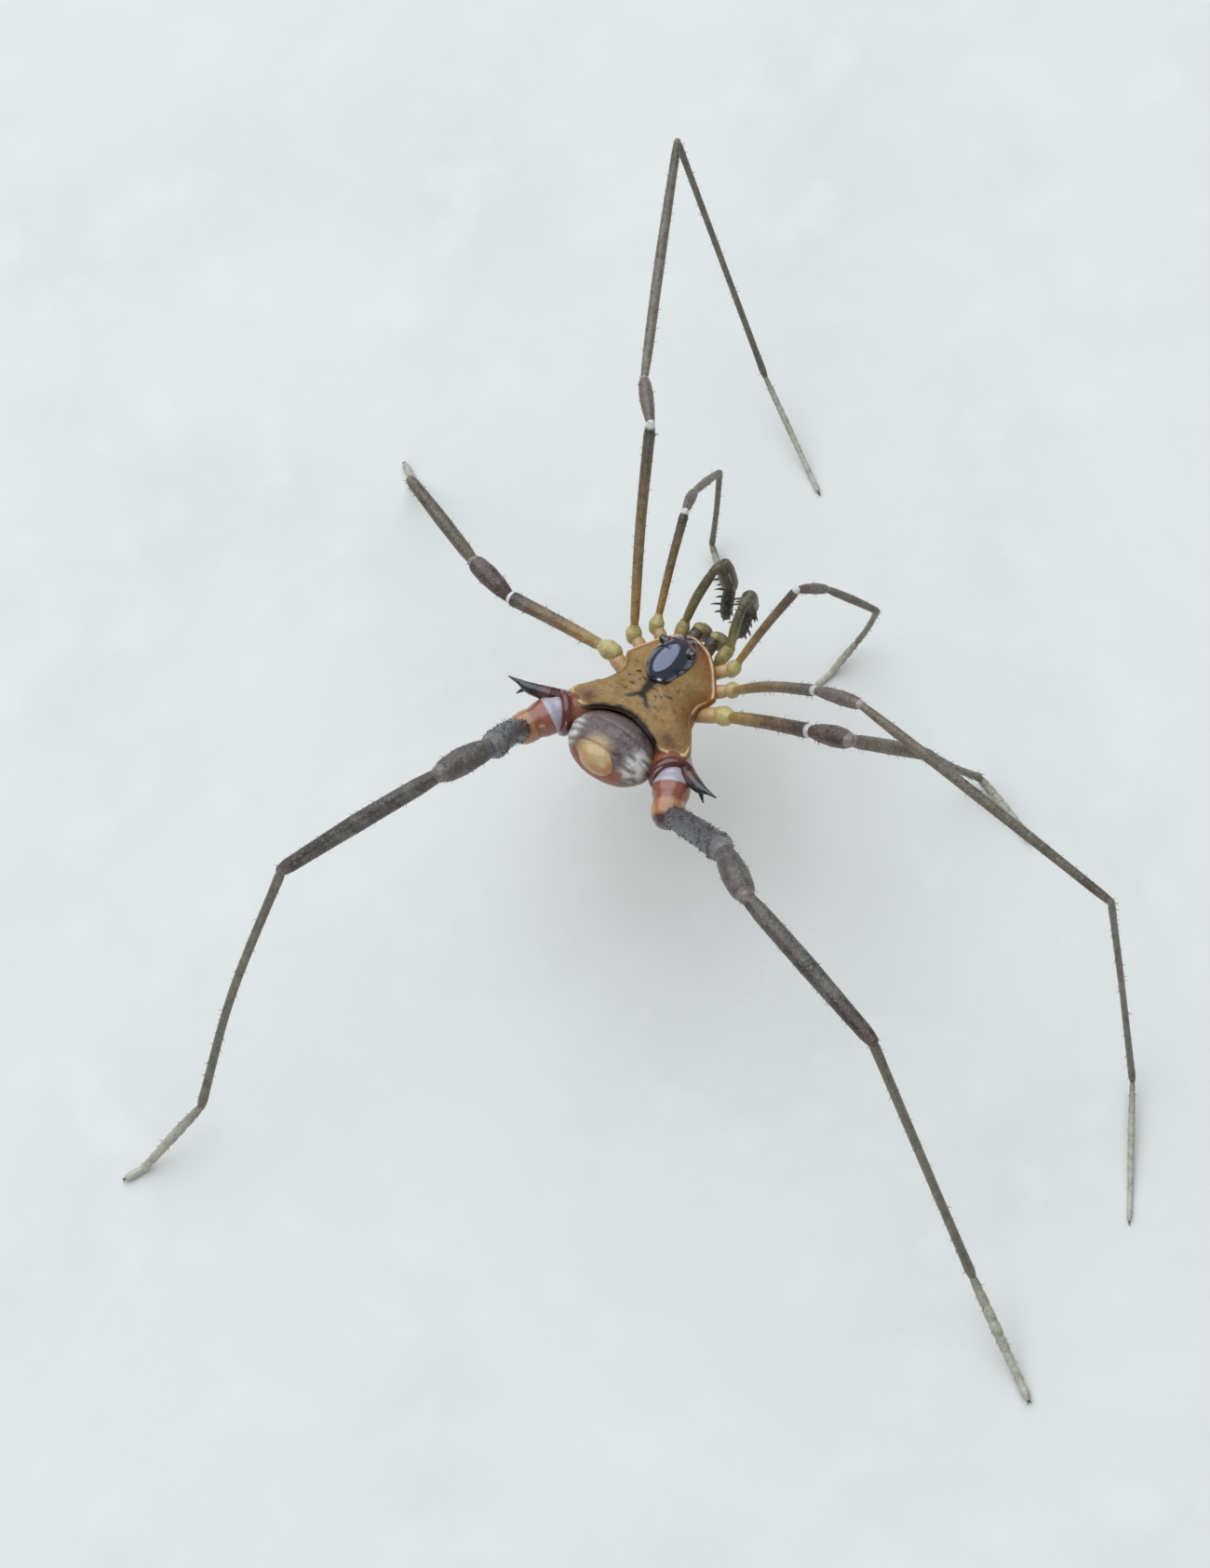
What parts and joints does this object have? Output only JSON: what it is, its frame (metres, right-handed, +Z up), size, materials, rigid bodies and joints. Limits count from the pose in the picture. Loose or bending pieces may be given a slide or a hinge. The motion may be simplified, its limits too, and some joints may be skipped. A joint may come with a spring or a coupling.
{
  "type": "harvestman",
  "caption": "Long-legged armoured harvestman standing still, with an orange-tan shield, domed abdomen, forked hip spines and thin bent legs.",
  "frame": {"origin": "on the floor, under the middle of the box around the whole standing animal", "axes": "+Z up from the floor, +Y toward the head, +X toward the animal's right side"},
  "size_m": [0.0462, 0.0478, 0.0155],
  "materials": {
    "shield": "satin orange-tan cuticle, darker at the rear corners",
    "eye_mound": "glossy near-black mound with a maroon front",
    "eye": "glossy black lens",
    "abdomen": "soft grey-brown skin with pale bands",
    "operculum": "satin cream-orange plate",
    "underside": "satin yellow-brown cuticle",
    "mouthparts": "satin olive-brown cuticle",
    "hip_pale": "satin cream-yellow cuticle",
    "hip_red": "glossy rust-red cuticle with a blue-black spine",
    "femur_yellow": "satin yellow-orange grading to olive",
    "femur_slate": "matt slate-grey cuticle with a white tip ring",
    "knee_brown": "satin purple-brown cuticle",
    "limb_olive": "matt dark olive-brown cuticle",
    "tarsus_pale": "matt pale grey-olive cuticle"
  },
  "bodies": {
    "root": {"dorsal_scutum": "shield", "ocularium": "eye_mound", "eye_left": "eye", "eye_right": "eye", "free_tergites": "abdomen", "anal_operculum": "operculum", "underside": "underside", "chelicera_left": "mouthparts", "chelicera_right": "mouthparts", "pedipalp_left": "mouthparts", "pedipalp_right": "mouthparts", "hip_left_1": "hip_pale", "femur_left_1": "femur_yellow", "patella_left_1": "knee_brown", "tibia_left_1": "limb_olive", "metatarsus_left_1": "limb_olive", "tarsus_left_1": "tarsus_pale", "hip_right_1": "hip_pale", "femur_right_1": "femur_yellow", "patella_right_1": "knee_brown", "tibia_right_1": "limb_olive", "metatarsus_right_1": "limb_olive", "tarsus_right_1": "tarsus_pale", "hip_left_2": "hip_pale", "femur_left_2": "femur_yellow", "patella_left_2": "knee_brown", "tibia_left_2": "limb_olive", "metatarsus_left_2": "limb_olive", "tarsus_left_2": "tarsus_pale", "hip_right_2": "hip_pale", "femur_right_2": "femur_yellow", "patella_right_2": "knee_brown", "tibia_right_2": "limb_olive", "metatarsus_right_2": "limb_olive", "tarsus_right_2": "tarsus_pale", "hip_left_3": "hip_pale", "femur_left_3": "femur_yellow", "patella_left_3": "knee_brown", "tibia_left_3": "limb_olive", "metatarsus_left_3": "limb_olive", "tarsus_left_3": "tarsus_pale", "hip_right_3": "hip_pale", "femur_right_3": "femur_yellow", "patella_right_3": "knee_brown", "tibia_right_3": "limb_olive", "metatarsus_right_3": "limb_olive", "tarsus_right_3": "tarsus_pale", "hip_left_4": "hip_red", "femur_left_4": "femur_slate", "patella_left_4": "knee_brown", "tibia_left_4": "limb_olive", "metatarsus_left_4": "limb_olive", "tarsus_left_4": "tarsus_pale", "hip_right_4": "hip_red", "femur_right_4": "femur_slate", "patella_right_4": "knee_brown", "tibia_right_4": "limb_olive", "metatarsus_right_4": "limb_olive", "tarsus_right_4": "tarsus_pale"}
  },
  "joints": []
}
